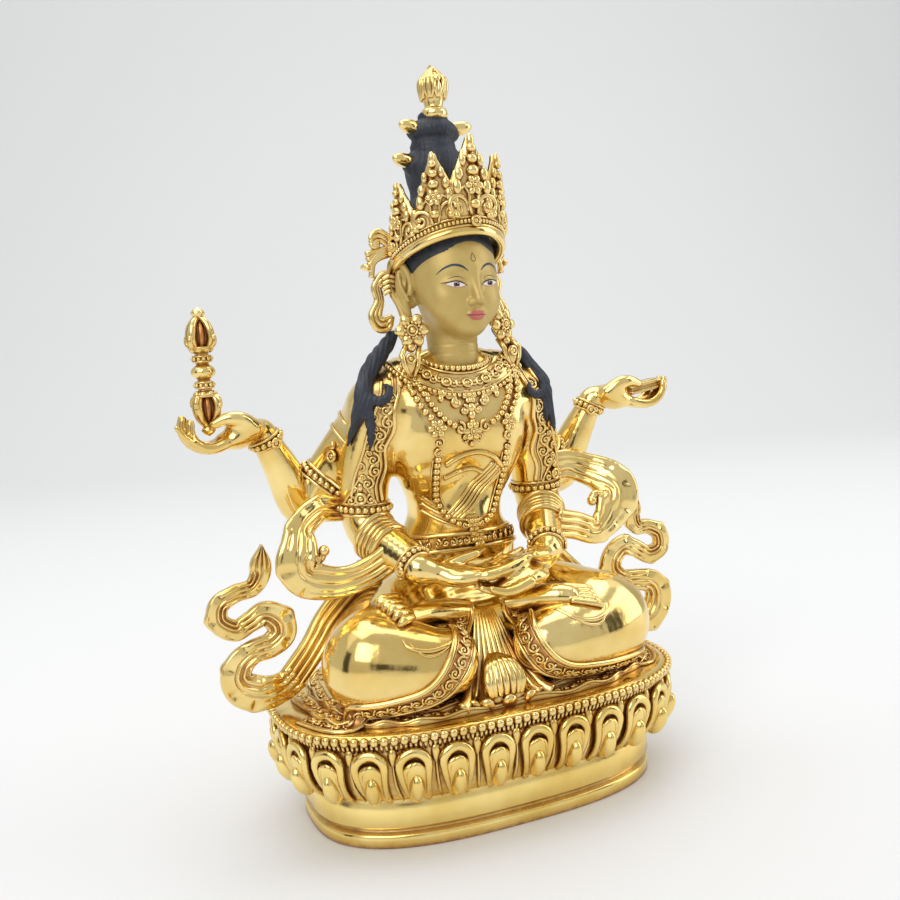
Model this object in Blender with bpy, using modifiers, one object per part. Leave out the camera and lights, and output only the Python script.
# Gilded four-armed Prajnaparamita, seated on an oval lotus pedestal.
# Metres, +Z up. The figure faces -Y, its left hand is on +X, and the origin is the middle of the underside.

import math

import bmesh
import bpy
import numpy as np
from mathutils import Matrix, Vector

# Driving sizes of the pedestal
BASE_HEIGHT = 0.0369
FOOT_LENGTH = 0.1140
FOOT_DEPTH = 0.0686
FOOT_LIP_HEIGHT = 0.0038
FOOT_GROOVE_HEIGHT = 0.0017
FOOT_GROOVE_DEPTH = 0.0015
PETAL_BOTTOM = 0.0145
PETAL_TOP = 0.0317
PETAL_COUNT = 28
PETAL_PROUD = 0.0040
RIM_OUT = 0.0078
RIM_ROLL = 0.0015
OVAL_POWER = 2.74
DEPTH_SHARE = 0.85

# Rows of a petal: height share, then how far the valley is out, how proud shoulder and crest
# stand of it, and how much lower the shoulder is
PETAL_ROWS = (
    (0.00, 0.05, 0.05, 0.15, 0.00),
    (0.28, 0.30, 0.60, 0.85, 0.00),
    (0.66, 0.60, 0.85, 1.20, 0.00),
    (0.90, 0.82, 0.65, 1.10, 0.08),
    (1.00, 0.95, 0.20, 0.70, 0.14),
)

# Driving sizes of the figure and of the pieces fixed to it
FIGURE_HEIGHT = 0.1911
CLEARANCE = 0.0003
CROWN_WALL = 0.0020
VAJRA_LENGTH = 0.0365
BOOK_LENGTH = 0.0140
BOOK_DEPTH = 0.0075
BOOK_THICKNESS = 0.0034
CLOTH_SPREAD = 0.0016
CLOTH_RISE = 0.0050

# Fineness of the fused forms, in modelling units, and how many triangles they keep
FIGURE_VOXEL = 0.9
SCARF_VOXEL = 0.52
VAJRA_VOXEL = 0.4
FIGURE_FACES = 5200
SCARF_FACES = 380
VAJRA_FACES = 560

# One modelling unit: a millimetre on a figure of this height above its seat
UNITS_HIGH = 191.1
U = FIGURE_HEIGHT / UNITS_HIGH

# Small shares of the pedestal's profile
EDGE_SOFT = 0.0003
WALL_SHARE = 0.74
ROLL_SHARE = 0.80
ROLL_BULGE = 0.5

# Finishes: colour, roughness, metallic
FINISHES = {
    "gilding": ((0.83, 0.58, 0.22), 0.16, 1.0),
    "gilding_bright": ((0.88, 0.64, 0.27), 0.14, 1.0),
    "gilding_scarf": ((0.80, 0.55, 0.20), 0.18, 1.0),
}

for old in list(bpy.data.objects):
    bpy.data.objects.remove(old, do_unlink=True)

parts = bpy.data.collections.new("prajnaparamita")
cutters = bpy.data.collections.new("cutters")
bpy.context.scene.collection.children.link(parts)
bpy.context.scene.collection.children.link(cutters)


def finish(name):
    """A Principled material of the named finish."""
    colour, roughness, metallic = FINISHES[name]
    material = bpy.data.materials.new(name)
    material.use_nodes = True
    shader = material.node_tree.nodes["Principled BSDF"]
    shader.inputs["Base Color"].default_value = (*colour, 1.0)
    shader.inputs["Roughness"].default_value = roughness
    shader.inputs["Metallic"].default_value = metallic
    return material


def to_object(shape, name):
    """Put a bmesh or a lump of clay into a named object."""
    if isinstance(shape, Clay):
        mesh = shape.mesh(name)
    else:
        mesh = bpy.data.meshes.new(name)
        bmesh.ops.recalc_face_normals(shape, faces=shape.faces)
        shape.to_mesh(mesh)
        shape.free()
    item = bpy.data.objects.new(name, mesh)
    parts.objects.link(item)
    return item


def put_away(item):
    """Keep a cutter as a hidden guide."""
    parts.objects.unlink(item)
    cutters.objects.link(item)
    item.hide_render = True
    item.display_type = "WIRE"


def evaluated(item):
    """A new mesh of the object as its modifiers make it."""
    graph = bpy.context.evaluated_depsgraph_get()
    return bpy.data.meshes.new_from_object(item.evaluated_get(graph))


def settle(item):
    """Apply the modifiers of an object."""
    mesh = evaluated(item)
    item.modifiers.clear()
    item.data = mesh
    return item


def boolean(item, other, operation, own_overlaps=False):
    """Join another object to this one, or cut it out, and leave it as a hidden guide."""
    step = item.modifiers.new(operation.lower(), "BOOLEAN")
    step.operation = operation
    step.object = other
    step.solver = "EXACT"
    step.use_self = own_overlaps
    settle(item)
    put_away(other)


def at(x, y, z):
    """A point of the figure: x and y from the middle, z above the seat, in modelling units."""
    return Vector((x * U, y * U, BASE_HEIGHT + z * U))


class Clay:
    """Overlapping closed shapes, kept as vertices and faces until they are fused."""

    def __init__(self):
        self.points = []
        self.faces = []
        self.count = 0

    def add(self, pattern, place, radii=None):
        """Add a copy of a (points, faces) pattern; radii widens its lower and upper end."""
        points, faces = pattern
        if radii is not None:
            widths = np.where(points[:, 2:3] < 0.0, radii[0], radii[1])
            points = points * np.hstack([widths, widths, np.ones_like(widths)])
        matrix = np.array(place)
        self.points.append(points @ matrix[:3, :3].T + matrix[:3, 3])
        self.faces.extend([tuple(corner + self.count for corner in face) for face in faces])
        self.count += len(points)

    def mesh(self, name):
        """One mesh of everything added."""
        mesh = bpy.data.meshes.new(name)
        mesh.from_pydata(np.vstack(self.points).tolist(), [], self.faces)
        return mesh


def pattern_of(shape):
    """Points and faces of a bmesh, ready to be copied."""
    shape.verts.index_update()
    points = np.array([v.co[:] for v in shape.verts])
    faces = [tuple(v.index for v in f.verts) for f in shape.faces]
    shape.free()
    return points, faces


def ball_pattern(segments):
    """A ball of radius 1."""
    shape = bmesh.new()
    bmesh.ops.create_uvsphere(shape, u_segments=segments, v_segments=segments // 2, radius=1.0)
    return pattern_of(shape)


def rod_pattern(segments):
    """A capped rod of radius 1 and length 1."""
    shape = bmesh.new()
    bmesh.ops.create_cone(shape, cap_ends=True, segments=segments, radius1=1.0, radius2=1.0, depth=1.0)
    return pattern_of(shape)


BALLS = {segments: ball_pattern(segments) for segments in (12, 20)}
ROD = rod_pattern(20)


def add_ball(shape, centre, radius, stretch=(1.0, 1.0, 1.0), turn=None, segments=20):
    """Add a ball or an ellipsoid."""
    place = Matrix.Translation(centre)
    if turn is not None:
        place = place @ turn
    place = place @ Matrix.Diagonal((*[radius * s for s in stretch], 1.0))
    shape.add(BALLS[segments], place)


def add_taper(shape, start, end, radius_start, radius_end):
    """Add a round stretch between two balls."""
    axis = end - start
    turn = axis.to_track_quat("Z", "Y").to_matrix().to_4x4()
    place = Matrix.Translation((start + end) / 2) @ turn @ Matrix.Diagonal((1.0, 1.0, axis.length, 1.0))
    shape.add(ROD, place, (radius_start, radius_end))


def add_chain(shape, points, mirrored=False):
    """Add a limb through (x, y, z, radius) points, in modelling units."""
    sides = (1.0, -1.0) if mirrored else (1.0,)
    for side in sides:
        spots = [(at(side * x, y, z), r * U) for x, y, z, r in points]
        for spot, radius in spots:
            add_ball(shape, spot, radius)
        for (start, r0), (end, r1) in zip(spots, spots[1:]):
            add_taper(shape, start, end, r0, r1)


def smooth_path(points, steps):
    """Points along a smooth curve through the given points, of any number of values each."""
    given = np.array(points, dtype=float)
    padded = np.vstack([2 * given[0] - given[1], given, 2 * given[-1] - given[-2]])
    path = []
    for i in range(len(given) - 1):
        a, b, c, d = padded[i:i + 4]
        for t in np.arange(steps) / steps:
            path.append(0.5 * (2 * b + (c - a) * t + (2 * a - 5 * b + 4 * c - d) * t**2
                               + (3 * b - a - 3 * c + d) * t**3))
    path.append(given[-1])
    return path


# Section of a band: where each bulge lies across it, and how thick it is there. The edges of a band
# are round, and reach out by a share of its thickness.
BAND_SECTION = ((0.0, 1.25), (0.55, 0.9), (-0.55, 0.9), (0.85, 0.7), (-0.85, 0.7))
BAND_EDGE = 0.3
SCARF_THICKNESS = 3.0
FALL_THICKNESS = 4.2


def add_band(shape, points, thickness, steps=4):
    """Add a flat ridged band through (x, y, z, half width) points, all in modelling units.

    The band stands in the XZ plane, and its middle third is thicker than its edges.
    """
    path = smooth_path(points, steps)
    for i, (x, y, z, half) in enumerate(path):
        before = path[max(i - 1, 0)]
        after = path[min(i + 1, len(path) - 1)]
        run = Vector((after[0] - before[0], 0.0, after[2] - before[2])).normalized()
        across = Vector((-run.z, 0.0, run.x))
        for share, bulge in BAND_SECTION:
            centre = at(x, y, z) + across * (half * U * share)
            radius = (half * (1.0 - abs(share)) + thickness * BAND_EDGE) * U
            depth = thickness * U * bulge / 2
            add_ball(shape, centre, radius, (1.0, depth / radius, 1.0), segments=12)


def fuse(shape, name, voxel, faces, rounds, material):
    """Melt overlapping closed shapes into one solid of few faces."""
    item = to_object(shape, name)
    remesh = item.modifiers.new("fuse", "REMESH")
    remesh.mode = "VOXEL"
    remesh.voxel_size = voxel
    soften = item.modifiers.new("soften", "SMOOTH")
    soften.factor = 0.5
    soften.iterations = rounds
    settle(item)
    triangles = sum(len(p.vertices) - 2 for p in item.data.polygons)
    thin = item.modifiers.new("thin", "DECIMATE")
    thin.ratio = min(1.0, faces / triangles)
    settle(item)
    item.data.materials.clear()
    item.data.materials.append(finish(material))
    return item


# Oval of the pedestal
def oval_point(angle, out):
    """A point of the pedestal's oval, moved out by the given distance."""
    half_length = FOOT_LENGTH / 2 + out
    half_depth = FOOT_DEPTH / 2 + out * DEPTH_SHARE
    c, s = math.cos(angle), math.sin(angle)
    power = 2.0 / OVAL_POWER
    return (half_length * math.copysign(abs(c) ** power, c),
            half_depth * math.copysign(abs(s) ** power, s))


def oval_angles(count, out, start=0.0):
    """Angles that share the oval's length evenly; start is a share of one step."""
    fine = [2 * math.pi * (i - 0.5) / 4096 for i in range(4097)]
    points = np.array([oval_point(angle, out) for angle in fine])
    run = np.concatenate([[0.0], np.cumsum(np.linalg.norm(np.diff(points, axis=0), axis=1))])
    wanted = (np.arange(count) + start) / count * run[-1]
    return list(np.interp(wanted, run, fine))


def add_oval_ring(shape, angles, z, out):
    """Add one level oval of vertices."""
    return [shape.verts.new((*oval_point(angle, out), z)) for angle in angles]


def add_petal_ring(shape, angles, z, valley, shoulder, crest, shoulder_drop=0.0):
    """Add one ring with a valley, a shoulder, a crest and a shoulder for each petal."""
    outs = (valley, shoulder, crest, shoulder)
    drops = (0.0, shoulder_drop, 0.0, shoulder_drop)
    ring = []
    for i, angle in enumerate(angles):
        spot = oval_point(angle, outs[i % 4])
        ring.append(shape.verts.new((*spot, z - drops[i % 4])))
    return ring


def bridge(shape, low, high):
    """Close the wall between two rings, of which one may have twice the points of the other."""
    if len(low) == len(high):
        for i in range(len(low)):
            j = (i + 1) % len(low)
            shape.faces.new((low[i], low[j], high[j], high[i]))
        return
    fine, coarse = (high, low) if len(high) > len(low) else (low, high)
    for i in range(len(coarse)):
        j = (i + 1) % len(coarse)
        first, middle, last = fine[2 * i], fine[2 * i + 1], fine[(2 * i + 2) % len(fine)]
        shape.faces.new((coarse[i], middle, first))
        shape.faces.new((coarse[i], coarse[j], middle))
        shape.faces.new((coarse[j], last, middle))


def make_base():
    """Pedestal: foot lip, groove, band, one row of petals and rolled rim."""
    shape = bmesh.new()
    fine = oval_angles(PETAL_COUNT * 4, 0.0)
    coarse = fine[::2]
    groove_top = FOOT_LIP_HEIGHT + FOOT_GROOVE_HEIGHT
    roll_bottom = BASE_HEIGHT - 2 * RIM_ROLL
    rings = [
        add_oval_ring(shape, coarse, 0.0, 0.0),
        add_oval_ring(shape, coarse, FOOT_LIP_HEIGHT, 0.0),
        add_oval_ring(shape, coarse, FOOT_LIP_HEIGHT + EDGE_SOFT, -FOOT_GROOVE_DEPTH),
        add_oval_ring(shape, coarse, groove_top, -FOOT_GROOVE_DEPTH),
        add_oval_ring(shape, coarse, groove_top + EDGE_SOFT, -EDGE_SOFT),
        add_oval_ring(shape, coarse, PETAL_BOTTOM - EDGE_SOFT, 0.0),
    ]
    height = PETAL_TOP - PETAL_BOTTOM
    wall = RIM_OUT * WALL_SHARE
    for share, valley, shoulder, crest, drop in PETAL_ROWS:
        rings.append(add_petal_ring(
            shape, fine, PETAL_BOTTOM + height * share, wall * valley,
            wall * valley + PETAL_PROUD * shoulder, wall * valley + PETAL_PROUD * crest, height * drop))
    rings += [
        add_oval_ring(shape, coarse, PETAL_TOP + EDGE_SOFT, wall),
        add_oval_ring(shape, coarse, roll_bottom, RIM_OUT * ROLL_SHARE),
        add_oval_ring(shape, coarse, BASE_HEIGHT - RIM_ROLL, RIM_OUT + RIM_ROLL * ROLL_BULGE),
        add_oval_ring(shape, coarse, BASE_HEIGHT, RIM_OUT * ROLL_SHARE),
    ]
    for low, high in zip(rings, rings[1:]):
        bridge(shape, low, high)
    shape.faces.new(rings[0][::-1])
    shape.faces.new(rings[-1])
    base = to_object(shape, "lotus_base")
    base.data.materials.append(finish("gilding"))
    return base


# Limbs of the figure, as (x, y, z, radius), in modelling units above the seat
TORSO = [
    ((11, -1, 86, 12.5), (9, 0, 75, 12.5), (5.5, 5.5, 60, 10.5), (5.5, 7.5, 50, 11.0), (7, 8, 40, 13.0)),
    ((9.5, -5.5, 82, 9.5), (8.5, -6.0, 79, 9.0)),
    ((3, -2.5, 88, 12.0), (3, -1.0, 76, 12.5), (2, 5, 60, 11.0), (2, 7.5, 48, 11.5)),
    ((10, 14, 17, 16.0), (17, 12, 20, 16.0), (30, -6, 18.0, 15.4), (40.0, -19, 15.0, 13.2)),
    ((36, -20, 13.6, 12.8), (12, -26, 13.6, 10.2)),
    ((0, 16, 16, 15.5), (0, 8, 24, 13.0)),
]
FRONT_ARMS = [
    ((24, 0, 88, 10.0), (29.6, 5.5, 66, 8.2), (30.4, 5, 53.5, 7.9), (26.6, -5, 46.4, 6.6),
     (21.6, -16.5, 40.6, 4.7)),
]
REAR_ARMS = [
    ((23, 7, 89, 9.5), (34, 14, 74, 8.8), (43.5, 19, 60.5, 7.6), (46, 19.5, 58, 7.2), (52.8, 17, 72, 5.8),
     (58.4, 14.5, 83.6, 4.3)),
]
HEAD = [
    ((0, -3.0, 136, 14.4), (0, -4.6, 129, 13.2), (0, -6.6, 121.5, 11.0), (0, -8.4, 117.5, 8.0)),
    ((0, -1.5, 117, 7.8), (0, -2.5, 104, 7.8), (0, -1.0, 97, 12.0)),
    ((0, -2, 141, 12.5), (0, -3, 150, 8.0), (0, -3, 160.5, 9.2), (0, -3, 164.2, 7.6)),
    ((0, -3, 167, 6.4), (0, -3, 171.5, 7.2), (0, -3, 175, 4.6)),
    ((0, -3, 176, 4.0), (0, -3, 178.2, 2.6), (0, -3, 184.2, 4.4), (0, -3, 189.5, 1.6)),
]
SPIKES = [
    ((6.0, -3, 173, 1.8), (11.8, -3, 173.6, 0.8)),
    ((8.0, -3, 162.5, 1.9), (15.4, -3, 163.6, 0.8)),
]
EARS = [
    ((15.2, 0.5, 124.5, 2.6), (15.4, -0.5, 118.5, 2.0), (15.8, -2.0, 113, 2.2)),
    ((16.4, -2.6, 111.3, 4.6), (17.4, -4.8, 105, 2.6), (19.0, -5.6, 98.5, 1.6)),
]
CROWN_RIBBONS = [
    ((17.5, 4, 136, 2.2), (22.5, 4.5, 142, 3.2)),
    ((17.5, 5, 132, 2.6), (23.0, 5, 133, 2.4), (21.0, 6, 126, 2.0), (24.2, 5.5, 119, 2.0),
     (21.0, 4, 114.6, 2.2), (17.0, 3, 118, 2.0), (17.0, 4, 128, 2.2)),
]
HAIR_LOCKS = [
    ((14, 3, 107, 4.0), (22, 0, 99.5, 4.0), (29.5, -2.0, 90, 3.6), (34.5, -0.5, 77.5, 2.2)),
]
FEET = [
    (1.0, ((9, -26, 22.5, 5.4), (24, -22.5, 23.6, 4.6), (34, -19.5, 21.6, 3.6), (38.4, -18, 19.8, 2.4))),
    (-1.0, ((7, -25, 24.5, 5.4), (20, -21.5, 26.0, 4.6), (29, -17.5, 27.0, 3.6), (33, -14.5, 26.8, 2.4))),
]
LAP_HANDS = [
    (-1.0, ((22, -16.5, 40.6, 4.6), (14, -20, 38.4, 4.0), (4, -22.4, 38.2, 3.6), (-5, -22.6, 38.8, 2.4),
            (-12.5, -22, 39.2, 1.6))),
    (1.0, ((22, -16.5, 40.6, 4.6), (16, -20.5, 35.6, 4.0), (6, -23.2, 33.0, 3.6), (-4, -24.6, 33.4, 2.4),
           (-9, -24.8, 34.6, 1.8))),
]
FACE = [
    ((0, -17.0, 127.5, 1.2), (0, -18.9, 120.4, 1.9)),
    ((1.8, -16.2, 115.6, 1.7), (-1.8, -16.2, 115.6, 1.7)),
]

# Cuffs round limbs: middle, a point that its axis runs towards, radius and half width
CUFFS = [
    ((30.0, 5.3, 62.0), (30.4, 5.0, 53.5), 9.4, 3.0),
    ((24.0, -10.0, 43.7), (21.6, -16.5, 40.6), 6.6, 2.4),
    ((40.5, 17.6, 65.0), (43.5, 19.0, 60.5), 9.0, 2.6),
    ((57.2, 15.0, 81.0), (58.4, 14.5, 83.6), 5.6, 2.2),
]
PLEATS = [
    (0, -31, 1.5, 6.5), (7, -31, 1.2, 5.0), (-7, -31, 1.2, 5.0), (13, -30, 1.0, 4.6), (-13, -30, 1.0, 4.6),
]
PLEAT_STRETCH = (0.8, 0.9, 0.6)
HEM_SWAGS = [
    ((46, -24, 1.6, 3.0), (36, -30, 1.8, 3.2), (26, -33, 1.8, 3.0), (16, -33, 1.6, 2.6)),
    ((52, -12, 1.4, 2.8), (56, -2, 1.4, 2.6), (52, 10, 1.4, 2.6), (40, 22, 1.4, 2.6), (18, 28, 1.4, 2.6)),
]
COLLAR = [(0, -13.4, 92.5, 2.4), (8, -11.6, 94.5, 2.4), (15, -6.4, 97.0, 2.4), (17.5, 2.0, 99.0, 2.2)]
BELT = [(0, -4.6, 48.0, 2.2), (9, -3.2, 48.2, 2.2), (15.2, 3.0, 48.6, 2.2)]

SCARF_LOOP_RIGHT = [
    (-32, 7, 58.0, 3.0), (-38.8, 7, 58.6, 3.4), (-45.5, 4, 59.4, 3.6), (-52.2, 0, 55.8, 3.9),
    (-54.4, -3, 50.4, 5.0),
    (-55.2, -4, 45.6, 6.2), (-53.2, -4, 40.8, 5.4), (-46.6, -5, 38.4, 4.4), (-39.7, -6, 38.6, 3.8),
    (-32.9, -7, 41.0, 3.9), (-27.0, -9, 45.0, 4.0),
]
SCARF_LOOP_LEFT = [
    (32, 8, 62.0, 3.6), (42.3, 7, 63.4, 4.3), (49.2, 4, 61.2, 4.6), (53.4, 0, 58.6, 5.8),
    (55.8, -3, 55.1, 7.0),
    (55.6, -4, 51.2, 7.4), (53.4, -4, 47.4, 6.2), (49.6, -5, 43.8, 4.6), (44.8, -6, 42.0, 3.8),
    (37.4, -7, 44.8, 3.9), (29.4, -9, 47.0, 4.0),
]
SCARF_CURL_RIGHT = [(-51.0, -3, 45.9, 1.6), (-48.3, -3, 45.6, 1.2), (-47.0, -3, 48.0, 1.4)]
SCARF_CURL_LEFT = [(50.6, -3, 53.4, 1.6), (47.6, -3, 53.4, 1.2), (46.2, -3, 51.4, 1.4)]
SCARF_FALL = [
    (30, 6, 38.0, 4.4), (37.6, 8, 30.4, 4.2), (44.6, 8, 23.4, 4.0), (50.6, 6, 16.2, 3.8), (59, 3, 8.4, 3.8),
]
SCARF_TAIL_RIGHT = [
    (-57.0, 3, 9.4, 3.8), (-61.0, 3, 7.2, 4.0), (-65.2, 2, 6.4, 4.5), (-69.8, 2, 6.7, 5.0),
    (-74.0, 2, 9.0, 4.9),
    (-75.6, 2, 12.6, 4.3), (-74.0, 2, 16.8, 3.8), (-69.8, 2, 19.6, 3.2), (-64.4, 2, 20.8, 3.4),
    (-60.8, 2, 23.8, 4.0),
    (-61.4, 2, 28.0, 4.0), (-65.4, 2, 30.8, 3.4), (-70.0, 2, 29.4, 2.9), (-74.4, 2, 27.8, 3.2),
    (-78.4, 2, 30.4, 3.4), (-77.8, 2, 34.6, 3.2), (-73.0, 2, 37.0, 2.5), (-68.6, 2, 38.6, 2.3),
    (-65.9, 2, 42.4, 2.6), (-65.2, 2, 46.6, 2.6), (-64.6, 2, 51.6, 0.9),
]
SCARF_TAIL_LEFT = [
    (57.0, 3, 9.2, 3.8), (61.5, 3, 7.2, 4.0), (66.0, 2, 6.2, 4.2), (70.2, 2, 6.7, 4.6),
    (73.2, 2, 10.2, 4.8),
    (73.8, 2, 14.8, 4.6),
    (71.4, 2, 18.8, 3.8), (66.0, 2, 20.4, 3.2), (59.6, 2, 21.4, 3.2), (55.6, 2, 25.0, 3.6),
    (56.0, 2, 29.6, 3.6),
    (60.2, 2, 33.2, 3.2), (65.2, 2, 32.6, 2.8), (70.4, 2, 29.6, 3.0), (74.8, 2, 30.6, 3.2),
    (74.8, 2, 35.0, 3.0),
    (71.0, 2, 37.6, 2.4), (66.6, 2, 38.6, 2.2), (65.0, 2, 42.6, 2.4), (65.6, 2, 46.4, 2.4),
    (66.2, 2, 50.6, 0.8),
]
TAIL_START = 58.0
TAIL_MIDDLE = SCARF_FALL[-1][1:3]
CUT_REACH = 28.0

# Hand geometry, in modelling units
FINGERS = 4
FINGER_PITCH = 3.1
PALM_Y = 12.2
VAJRA_FOOT = (-75.0, PALM_Y, 85.6)
BOOK_SEAT = (78.4, PALM_Y, 85.2)
BOOK_TILT = 8.0
CROWN_CENTRE_Y = -2.4
CROWN_RADIUS = 15.0
CROWN_FLARE = 0.02
CROWN_RISE = 0.45
CROWN_FRONT = 138.6
CROWN_BAND = 10.5
CROWN_LEAVES = ((0.0, 27.5, 19.0), (37.5, 24.5, 18.0), (81.0, 22.0, 18.0))
CROWN_END = 112.0
CROWN_COLUMNS = 44
CROWN_ROWS = 3
CROWN_LEAF_POWER = 0.8


# A raised palm as (x, spread across, z, radius), and its thumb as (x, y from the palm's middle, z, radius)
PALM = ((59.5, 1.6, 84.6, 3.4), (66.0, 3.4, 82.6, 3.3), (72.0, 3.4, 81.4, 2.6))
PALM_SHARES = (-1.0, -0.35, 0.35, 1.0)
THUMB = ((62.5, -4.4, 85.2, 2.4), (67.5, -6.4, 88.0, 1.9), (71.5, -5.6, 89.6, 1.5))
FINGER_RADIUS = 1.9
FINGER_TAPER = 0.22
RIGHT_FINGERS = ((72, 80.8), (77.5, 82.0), (81.2, 86.6), (81.0, 91.6))
LEFT_FINGERS = ((72, 80.8), (79.0, 81.0), (84.0, 83.6), (86.6, 87.8))


def add_raised_hand(shape, side, fingers):
    """Palm-up hand of a rear arm; fingers is the (x, z) run of its middle finger."""
    for share in PALM_SHARES:
        add_chain(shape, [(side * x, PALM_Y + share * spread, z, r) for x, spread, z, r in PALM])
    for i in range(FINGERS):
        y = PALM_Y + (i - (FINGERS - 1) / 2) * FINGER_PITCH
        add_chain(shape, [(side * x, y, z, FINGER_RADIUS - FINGER_TAPER * k) for k, (x, z) in enumerate(fingers)])
    add_chain(shape, [(side * x, PALM_Y + y, z, r) for x, y, z, r in THUMB])


def book_block(name, margin):
    """The manuscript's block, as large again as the margin asks on every side."""
    shape = bmesh.new()
    middle = at(*BOOK_SEAT) + Vector((0.0, 0.0, BOOK_THICKNESS / 2))
    sizes = [size + 2 * margin for size in (BOOK_LENGTH, BOOK_DEPTH, BOOK_THICKNESS)]
    turn = Matrix.Rotation(math.radians(BOOK_TILT), 4, "Y")
    place = Matrix.Translation(middle) @ turn @ Matrix.Diagonal((*sizes, 1.0))
    bmesh.ops.create_cube(shape, size=1.0, matrix=place)
    return to_object(shape, name)


# Half width and half height of the vajra's lower basket, as shares of the vajra's half length
BASKET = (0.31, 0.46)


def vajra_socket():
    """The room that the lower basket of the vajra needs in the palm."""
    shape = bmesh.new()
    reach = VAJRA_LENGTH / 2
    middle = at(*VAJRA_FOOT) + Vector((0.0, 0.0, reach * BASKET[1]))
    wide = reach * BASKET[0] + CLEARANCE
    tall = reach * BASKET[1] + 2 * CLEARANCE
    place = Matrix.Translation(middle) @ Matrix.Diagonal((wide, wide, tall, 1.0))
    bmesh.ops.create_uvsphere(shape, u_segments=12, v_segments=8, radius=1.0, matrix=place)
    return to_object(shape, "vajra_socket_cutter")


def cutting_block(name, middle, sizes):
    """A box to cut with; sizes are in modelling units."""
    shape = bmesh.new()
    place = Matrix.Translation(middle) @ Matrix.Diagonal((*[size * U for size in sizes], 1.0))
    bmesh.ops.create_cube(shape, size=1.0, matrix=place)
    return to_object(shape, name)


def make_figure():
    """The seated figure with its hair, ornaments' main forms, lap cloth and scarf loops."""
    shape = Clay()
    for chain in TORSO + FRONT_ARMS + REAR_ARMS + SPIKES + EARS + CROWN_RIBBONS + HAIR_LOCKS:
        add_chain(shape, chain, mirrored=True)
    for chain in [COLLAR, BELT] + HEM_SWAGS:
        add_chain(shape, chain, mirrored=True)
    for chain in HEAD + FACE:
        add_chain(shape, chain)
    for side, chain in FEET + LAP_HANDS:
        add_chain(shape, [(side * x, y, z, r) for x, y, z, r in chain])
    add_raised_hand(shape, -1.0, RIGHT_FINGERS)
    add_raised_hand(shape, 1.0, LEFT_FINGERS)
    for band in (SCARF_LOOP_RIGHT, SCARF_LOOP_LEFT, SCARF_CURL_RIGHT, SCARF_CURL_LEFT):
        add_band(shape, band, SCARF_THICKNESS)
    for side in (1.0, -1.0):
        fall = [(side * x, y, z, half) for x, y, z, half in SCARF_FALL]
        add_band(shape, fall, FALL_THICKNESS)
    for middle, towards, radius, half in CUFFS:
        for side in (1.0, -1.0):
            spot = at(side * middle[0], *middle[1:])
            turn = (at(side * towards[0], *towards[1:]) - spot).to_track_quat("Z", "Y").to_matrix().to_4x4()
            add_ball(shape, spot, radius * U, (1.0, 1.0, half / radius), turn)
    cloth = (FOOT_LENGTH / 2, FOOT_DEPTH / 2 + CLOTH_SPREAD, CLOTH_RISE)
    shape.add(BALLS[20], Matrix.Translation(at(0, 0, 0)) @ Matrix.Diagonal((*cloth, 1.0)))
    for x, y, z, r in PLEATS:
        add_ball(shape, at(x, y, z), r * U, PLEAT_STRETCH)
    figure = fuse(shape, "figure", FIGURE_VOXEL * U, FIGURE_FACES, 3, "gilding")
    below = at(0, 0, -CUT_REACH / 2) + Vector((0.0, 0.0, CLEARANCE))
    seat = cutting_block("seat_cutter", below, (6 * CUT_REACH, 6 * CUT_REACH, CUT_REACH))
    boolean(figure, seat, "DIFFERENCE")
    for side in (1.0, -1.0):
        middle = at(side * (TAIL_START + CUT_REACH / 2), *TAIL_MIDDLE)
        end = cutting_block("scarf_end_cutter", middle, (CUT_REACH, CUT_REACH, CUT_REACH))
        boolean(figure, end, "DIFFERENCE")
    boolean(figure, crown_shell("crown_seat_cutter", CLEARANCE), "DIFFERENCE")
    boolean(figure, book_block("book_seat_cutter", CLEARANCE), "DIFFERENCE")
    boolean(figure, vajra_socket(), "DIFFERENCE")
    return figure


def crown_height(angle):
    """Height of the crown's edge above its rim, in modelling units, at an angle from the front."""
    height = CROWN_BAND
    for middle, rise, width in CROWN_LEAVES:
        away = abs(abs(angle) - middle) / width
        if away < 1.0:
            height = max(height, CROWN_BAND + (rise - CROWN_BAND) * (1.0 - away) ** CROWN_LEAF_POWER)
    return height


def crown_shell(name, margin):
    """Five-leaf crown: an upright shell round the head, with leaves that lean a little outward.

    A margin makes it larger on every side, for the seat that the crown is let into.
    """
    shape = bmesh.new()
    grid = []
    end = CROWN_END + math.degrees(margin / (CROWN_RADIUS * U))
    for i in range(CROWN_COLUMNS + 1):
        angle = -end + 2 * end * i / CROWN_COLUMNS
        turn = math.radians(angle)
        foot_y = CROWN_CENTRE_Y - CROWN_RADIUS * math.cos(turn)
        rim = CROWN_FRONT - CROWN_RISE * (foot_y - (CROWN_CENTRE_Y - CROWN_RADIUS))
        column = []
        for j in range(CROWN_ROWS + 1):
            rise = (crown_height(angle) + 2 * margin / U) * j / CROWN_ROWS - margin / U
            radius = CROWN_RADIUS + CROWN_FLARE * rise
            x = radius * math.sin(turn)
            y = CROWN_CENTRE_Y - radius * math.cos(turn)
            spot = at(x, y, rim + rise) - Vector((math.sin(turn), -math.cos(turn), 0.0)) * margin
            column.append(shape.verts.new(spot))
        grid.append(column)
    for left, right in zip(grid, grid[1:]):
        for j in range(CROWN_ROWS):
            shape.faces.new((left[j], right[j], right[j + 1], left[j + 1]))
    item = to_object(shape, name)
    thick = item.modifiers.new("wall", "SOLIDIFY")
    thick.thickness = CROWN_WALL + 2 * margin
    thick.offset = 1.0
    return settle(item)


def make_crown():
    """Crown of five pointed leaves."""
    crown = crown_shell("crown", 0.0)
    crown.data.materials.clear()
    crown.data.materials.append(finish("gilding_bright"))
    return crown


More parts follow.
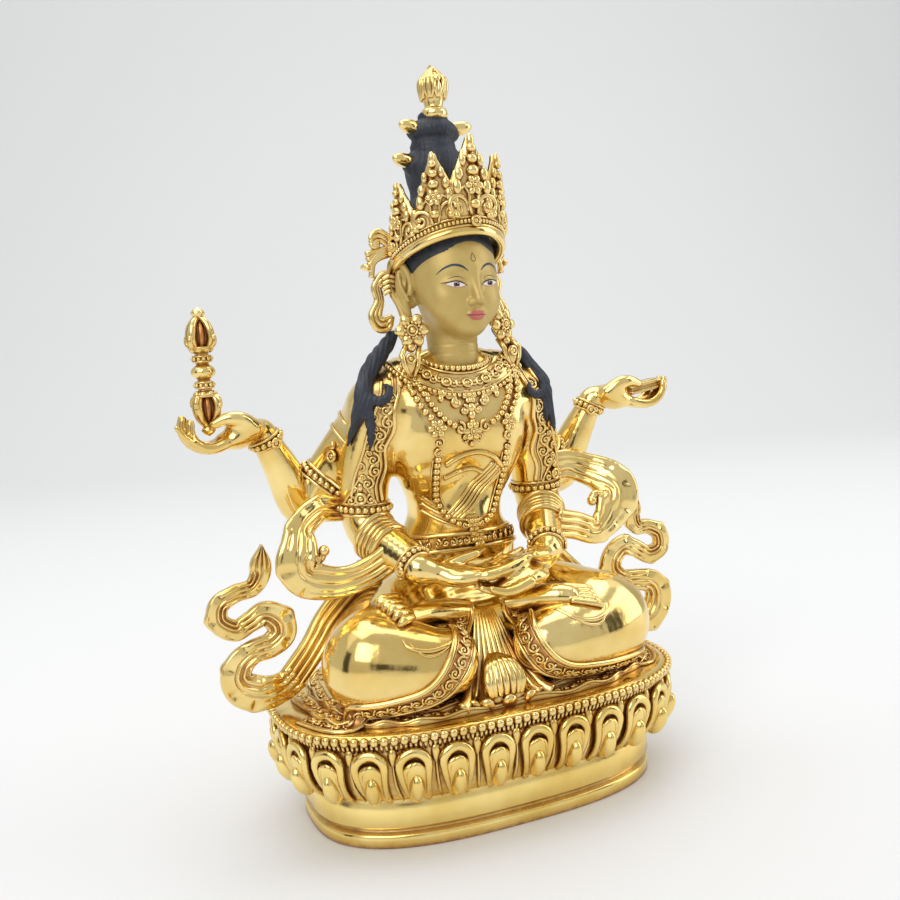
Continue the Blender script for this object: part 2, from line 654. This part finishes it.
# The vajra, as shares of its half length: radius and half height of the ball, the rod's radius,
# the collars' places, radius and half height, the prongs' run and radius, and the top knob
VAJRA_BALL = (0.205, 0.13)
VAJRA_ROD = 0.07
VAJRA_COLLARS = (0.19, 0.30)
VAJRA_COLLAR = (0.17, 0.07)
VAJRA_PRONGS = 4
VAJRA_PRONG_RUN = ((0.30, 0.08), (0.42, 0.22), (0.54, 0.25), (0.70, 0.20), (0.86, 0.06))
VAJRA_PRONG = 0.052
VAJRA_KNOB = (0.93, 0.10, 0.09)


def make_vajra():
    """Four-prong vajra: a waist ball between two closed baskets of prongs."""
    shape = Clay()
    foot = at(*VAJRA_FOOT)
    reach = VAJRA_LENGTH / 2
    middle = foot + Vector((0.0, 0.0, reach))
    wide, tall = VAJRA_BALL
    add_ball(shape, middle, reach, (wide, wide, tall))
    add_taper(shape, foot, foot + Vector((0.0, 0.0, VAJRA_LENGTH)), reach * VAJRA_ROD, reach * VAJRA_ROD)
    for way in (1.0, -1.0):
        wide, tall = VAJRA_COLLAR
        for share in VAJRA_COLLARS:
            add_ball(shape, middle + Vector((0.0, 0.0, way * reach * share)), reach, (wide, wide, tall))
        for k in range(VAJRA_PRONGS):
            turn = math.radians(45) + 2 * math.pi * k / VAJRA_PRONGS
            spots = [middle + reach * Vector((out * math.cos(turn), out * math.sin(turn), way * share))
                     for share, out in VAJRA_PRONG_RUN]
            for spot in spots:
                add_ball(shape, spot, reach * VAJRA_PRONG, segments=12)
            for low, high in zip(spots, spots[1:]):
                add_taper(shape, low, high, reach * VAJRA_PRONG, reach * VAJRA_PRONG)
    share, wide, tall = VAJRA_KNOB
    add_ball(shape, middle + Vector((0.0, 0.0, reach * share)), reach, (wide, wide, tall))
    return fuse(shape, "vajra", VAJRA_VOXEL * U, VAJRA_FACES, 1, "gilding_bright")


def make_book():
    """Long flat manuscript between two boards, lying on the raised left palm."""
    book = book_block("book", 0.0)
    edge = book.modifiers.new("edges", "BEVEL")
    edge.width = BOOK_THICKNESS / 6
    edge.segments = 1
    edge.affect = "EDGES"
    settle(book)
    book.data.materials.clear()
    book.data.materials.append(finish("gilding_bright"))
    return book


def make_tail(name, side, path):
    """One free end of the scarf: an S-shaped streamer beside the pedestal."""
    shape = Clay()
    add_band(shape, path, SCARF_THICKNESS, steps=5)
    tail = fuse(shape, name, SCARF_VOXEL * U, SCARF_FACES, 2, "gilding_scarf")
    middle = at(side * (TAIL_START - CUT_REACH / 2), *TAIL_MIDDLE) + Vector((side * CLEARANCE, 0.0, 0.0))
    end = cutting_block(name + "_cutter", middle, (CUT_REACH, CUT_REACH, CUT_REACH))
    boolean(tail, end, "DIFFERENCE")
    return tail


make_base()
make_figure()
make_crown()
make_vajra()
make_book()
make_tail("scarf_right", -1.0, SCARF_TAIL_RIGHT)
make_tail("scarf_left", 1.0, SCARF_TAIL_LEFT)
